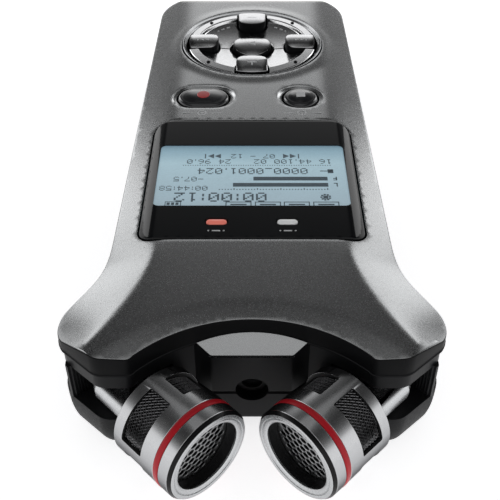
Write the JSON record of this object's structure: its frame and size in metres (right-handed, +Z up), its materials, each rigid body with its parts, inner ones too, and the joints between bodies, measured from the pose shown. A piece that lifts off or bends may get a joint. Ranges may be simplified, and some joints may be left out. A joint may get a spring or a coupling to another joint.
{
  "type": "portable field recorder",
  "caption": "Hand-held stereo field recorder with swivelling condenser microphones on ears, a tinted display window, a round key dial and a slide-off battery cover.",
  "frame": {"origin": "under the middle of the recorder, on the surface that its back lies on", "axes": "+Z up out of the face with the keys, +Y towards the tail, -Y towards the microphones, +X on the side with the headphone jack and the volume keys"},
  "size_m": [0.0686, 0.158, 0.026],
  "materials": {
    "case_paint": "satin metallic grey, fine sparkle",
    "case_black": "satin black moulding, fine texture",
    "window_gloss": "gloss black with a clear display area",
    "lcd_blue": "pale blue backlit panel with dark marks",
    "led_red": "translucent red, lit",
    "led_white": "translucent white",
    "board_green": "solder mask with parts on it",
    "keypad_rubber": "matt silicone",
    "trim_metal": "satin bright edge",
    "key_dark": "smoked gloss, printed sign",
    "key_grey": "satin metallic grey paint, polished rim",
    "side_key": "satin dark grey",
    "battery_sleeve": "printed shrink sleeve, plain bands",
    "spring_steel": "nickel-plated steel",
    "jack_black": "black bush with a bright contact",
    "shell_steel": "tinned sheet steel",
    "card_black": "fine matt plastic, gold contacts",
    "speaker_black": "black cone and basket",
    "insert_brass": "turned brass",
    "mic_dark_chrome": "dark chrome, turned",
    "mic_red": "deep red anodised look",
    "mic_liner": "matt black",
    "mic_silver": "satin silver, bead blasted",
    "mic_mesh": "black woven wire",
    "mic_capsule": "satin can"
  },
  "bodies": {
    "case": {"front_panel": "case_paint", "front_frame": "case_black", "rear_case": "case_black", "display_window": "window_gloss", "lcd_module": "lcd_blue", "rec_led": "led_red", "peak_led": "led_white", "main_board": "board_green", "keypad_mat": "keypad_rubber", "dial_trim_ring": "trim_metal", "battery_left": "battery_sleeve", "battery_right": "battery_sleeve", "battery_spring_left": "spring_steel", "battery_spring_right": "spring_steel", "contact_plate": "spring_steel", "input_jack": "jack_black", "headphone_jack": "jack_black", "usb_port": "shell_steel", "card_socket": "shell_steel", "card_door_pin": "spring_steel", "speaker": "speaker_black", "tripod_insert": "insert_brass", "rear_screw_1": "spring_steel", "rear_screw_2": "spring_steel", "rear_screw_3": "spring_steel", "rear_screw_4": "spring_steel", "left_pivot_pin": "spring_steel", "right_pivot_pin": "spring_steel"},
    "battery_cover": {"battery_cover": "case_black"},
    "card_door": {"card_door": "case_black"},
    "memory_card": {"memory_card": "card_black"},
    "record_button": {"record_button": "key_dark"},
    "stop_button": {"stop_button": "key_dark"},
    "play_button": {"play_button": "key_dark"},
    "plus_button": {"plus_button": "key_grey"},
    "minus_button": {"minus_button": "key_grey"},
    "rewind_button": {"rewind_button": "key_grey"},
    "forward_button": {"forward_button": "key_grey"},
    "menu_key": {"menu_key": "key_grey"},
    "quick_key": {"quick_key": "key_grey"},
    "mark_key": {"mark_key": "key_grey"},
    "loop_key": {"loop_key": "key_grey"},
    "volume_up_key": {"volume_up_key": "side_key"},
    "volume_down_key": {"volume_down_key": "side_key"},
    "left_mic": {"left_mic_arm": "mic_dark_chrome", "left_mic_cage": "mic_dark_chrome", "left_mic_red_ring": "mic_red", "left_mic_face_ring": "mic_liner", "left_mic_lip_ring": "mic_silver", "left_mic_grille": "mic_silver", "left_mic_mesh": "mic_mesh", "left_mic_capsule": "mic_capsule"},
    "right_mic": {"right_mic_arm": "mic_dark_chrome", "right_mic_cage": "mic_dark_chrome", "right_mic_red_ring": "mic_red", "right_mic_face_ring": "mic_liner", "right_mic_lip_ring": "mic_silver", "right_mic_grille": "mic_silver", "right_mic_mesh": "mic_mesh", "right_mic_capsule": "mic_capsule"}
  },
  "joints": [
    {"name": "record_press", "type": "slide", "parent": "case", "child": "record_button", "axis": [0, 0, -1], "range_m": [0, 0.0004], "stiffness_N_per_m": 400},
    {"name": "stop_press", "type": "slide", "parent": "case", "child": "stop_button", "axis": [0, 0, -1], "range_m": [0, 0.0004], "stiffness_N_per_m": 400},
    {"name": "play_press", "type": "slide", "parent": "case", "child": "play_button", "axis": [0, 0, -1], "range_m": [0, 0.0004], "stiffness_N_per_m": 400},
    {"name": "plus_press", "type": "slide", "parent": "case", "child": "plus_button", "axis": [0, 0, -1], "range_m": [0, 0.0004], "stiffness_N_per_m": 400},
    {"name": "minus_press", "type": "slide", "parent": "case", "child": "minus_button", "axis": [0, 0, -1], "range_m": [0, 0.0004], "stiffness_N_per_m": 400},
    {"name": "rewind_press", "type": "slide", "parent": "case", "child": "rewind_button", "axis": [0, 0, -1], "range_m": [0, 0.0004], "stiffness_N_per_m": 400},
    {"name": "forward_press", "type": "slide", "parent": "case", "child": "forward_button", "axis": [0, 0, -1], "range_m": [0, 0.0004], "stiffness_N_per_m": 400},
    {"name": "menu_press", "type": "slide", "parent": "case", "child": "menu_key", "axis": [0, 0, -1], "range_m": [0, 0.0004], "stiffness_N_per_m": 400},
    {"name": "quick_press", "type": "slide", "parent": "case", "child": "quick_key", "axis": [0, 0, -1], "range_m": [0, 0.0004], "stiffness_N_per_m": 400},
    {"name": "mark_press", "type": "slide", "parent": "case", "child": "mark_key", "axis": [0, 0, -1], "range_m": [0, 0.0004], "stiffness_N_per_m": 400},
    {"name": "loop_press", "type": "slide", "parent": "case", "child": "loop_key", "axis": [0, 0, -1], "range_m": [0, 0.0004], "stiffness_N_per_m": 400},
    {"name": "volume_up_press", "type": "slide", "parent": "case", "child": "volume_up_key", "axis": [-1, 0, 0], "range_m": [0, 0.0004], "stiffness_N_per_m": 400},
    {"name": "volume_down_press", "type": "slide", "parent": "case", "child": "volume_down_key", "axis": [-1, 0, 0], "range_m": [0, 0.0004], "stiffness_N_per_m": 400},
    {"name": "left_mic_swivel", "type": "hinge", "parent": "case", "child": "left_mic", "pos_m": [-0.02305, -0.0571, 0.012], "axis": [0, 0, -1], "range_deg": [0, 90]},
    {"name": "right_mic_swivel", "type": "hinge", "parent": "case", "child": "right_mic", "pos_m": [0.02305, -0.0571, 0.012], "axis": [0, 0, 1], "range_deg": [0, 90]},
    {"name": "battery_cover_slide", "type": "slide", "parent": "case", "child": "battery_cover", "axis": [0, 1, 0], "range_m": [0, 0.055]},
    {"name": "card_door_hinge", "type": "hinge", "parent": "case", "child": "card_door", "pos_m": [-0.02605, 0.0082, 0.01255], "axis": [0, -1, 0], "range_deg": [0, 90]},
    {"name": "memory_card_slide", "type": "slide", "parent": "case", "child": "memory_card", "axis": [-1, 0, 0], "range_m": [0, 0.0022]}
  ]
}
